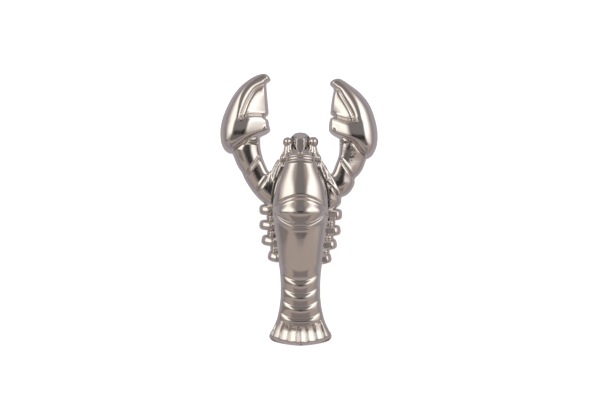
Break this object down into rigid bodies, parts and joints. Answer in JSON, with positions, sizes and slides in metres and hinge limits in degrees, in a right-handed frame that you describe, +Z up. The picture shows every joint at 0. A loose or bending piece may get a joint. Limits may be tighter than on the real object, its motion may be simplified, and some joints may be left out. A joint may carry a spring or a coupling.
{
  "type": "lobster cracker",
  "caption": "Hinged seafood cracker shaped like a lobster: a back lever and a belly lever on one pin, with toothed jaws behind the hinge.",
  "frame": {"origin": "on the flat underside of the belly lever, on the body's middle line, about half way along the object", "axes": "+Z up from the table that it lies on, +Y from the tail fan to the claws, +X to the right seen from above with the claws away from the viewer"},
  "size_m": [0.1041, 0.1778, 0.0239],
  "materials": {
    "plated_casting": "mirror-bright nickel plating on a zinc casting",
    "steel": "bright zinc-plated steel"
  },
  "bodies": {
    "belly": {"belly_lever": "plated_casting", "left_claw": "plated_casting", "right_claw": "plated_casting", "left_claw_screw": "steel", "right_claw_screw": "steel"},
    "back": {"back_lever": "plated_casting", "hinge_pin": "steel", "left_hinge_washer": "steel", "right_hinge_washer": "steel"}
  },
  "joints": [
    {"name": "lever_hinge", "type": "hinge", "parent": "belly", "child": "back", "pos_m": [0, 0.043, 0.01], "axis": [-1, 0, 0], "range_deg": [0, 55]}
  ]
}
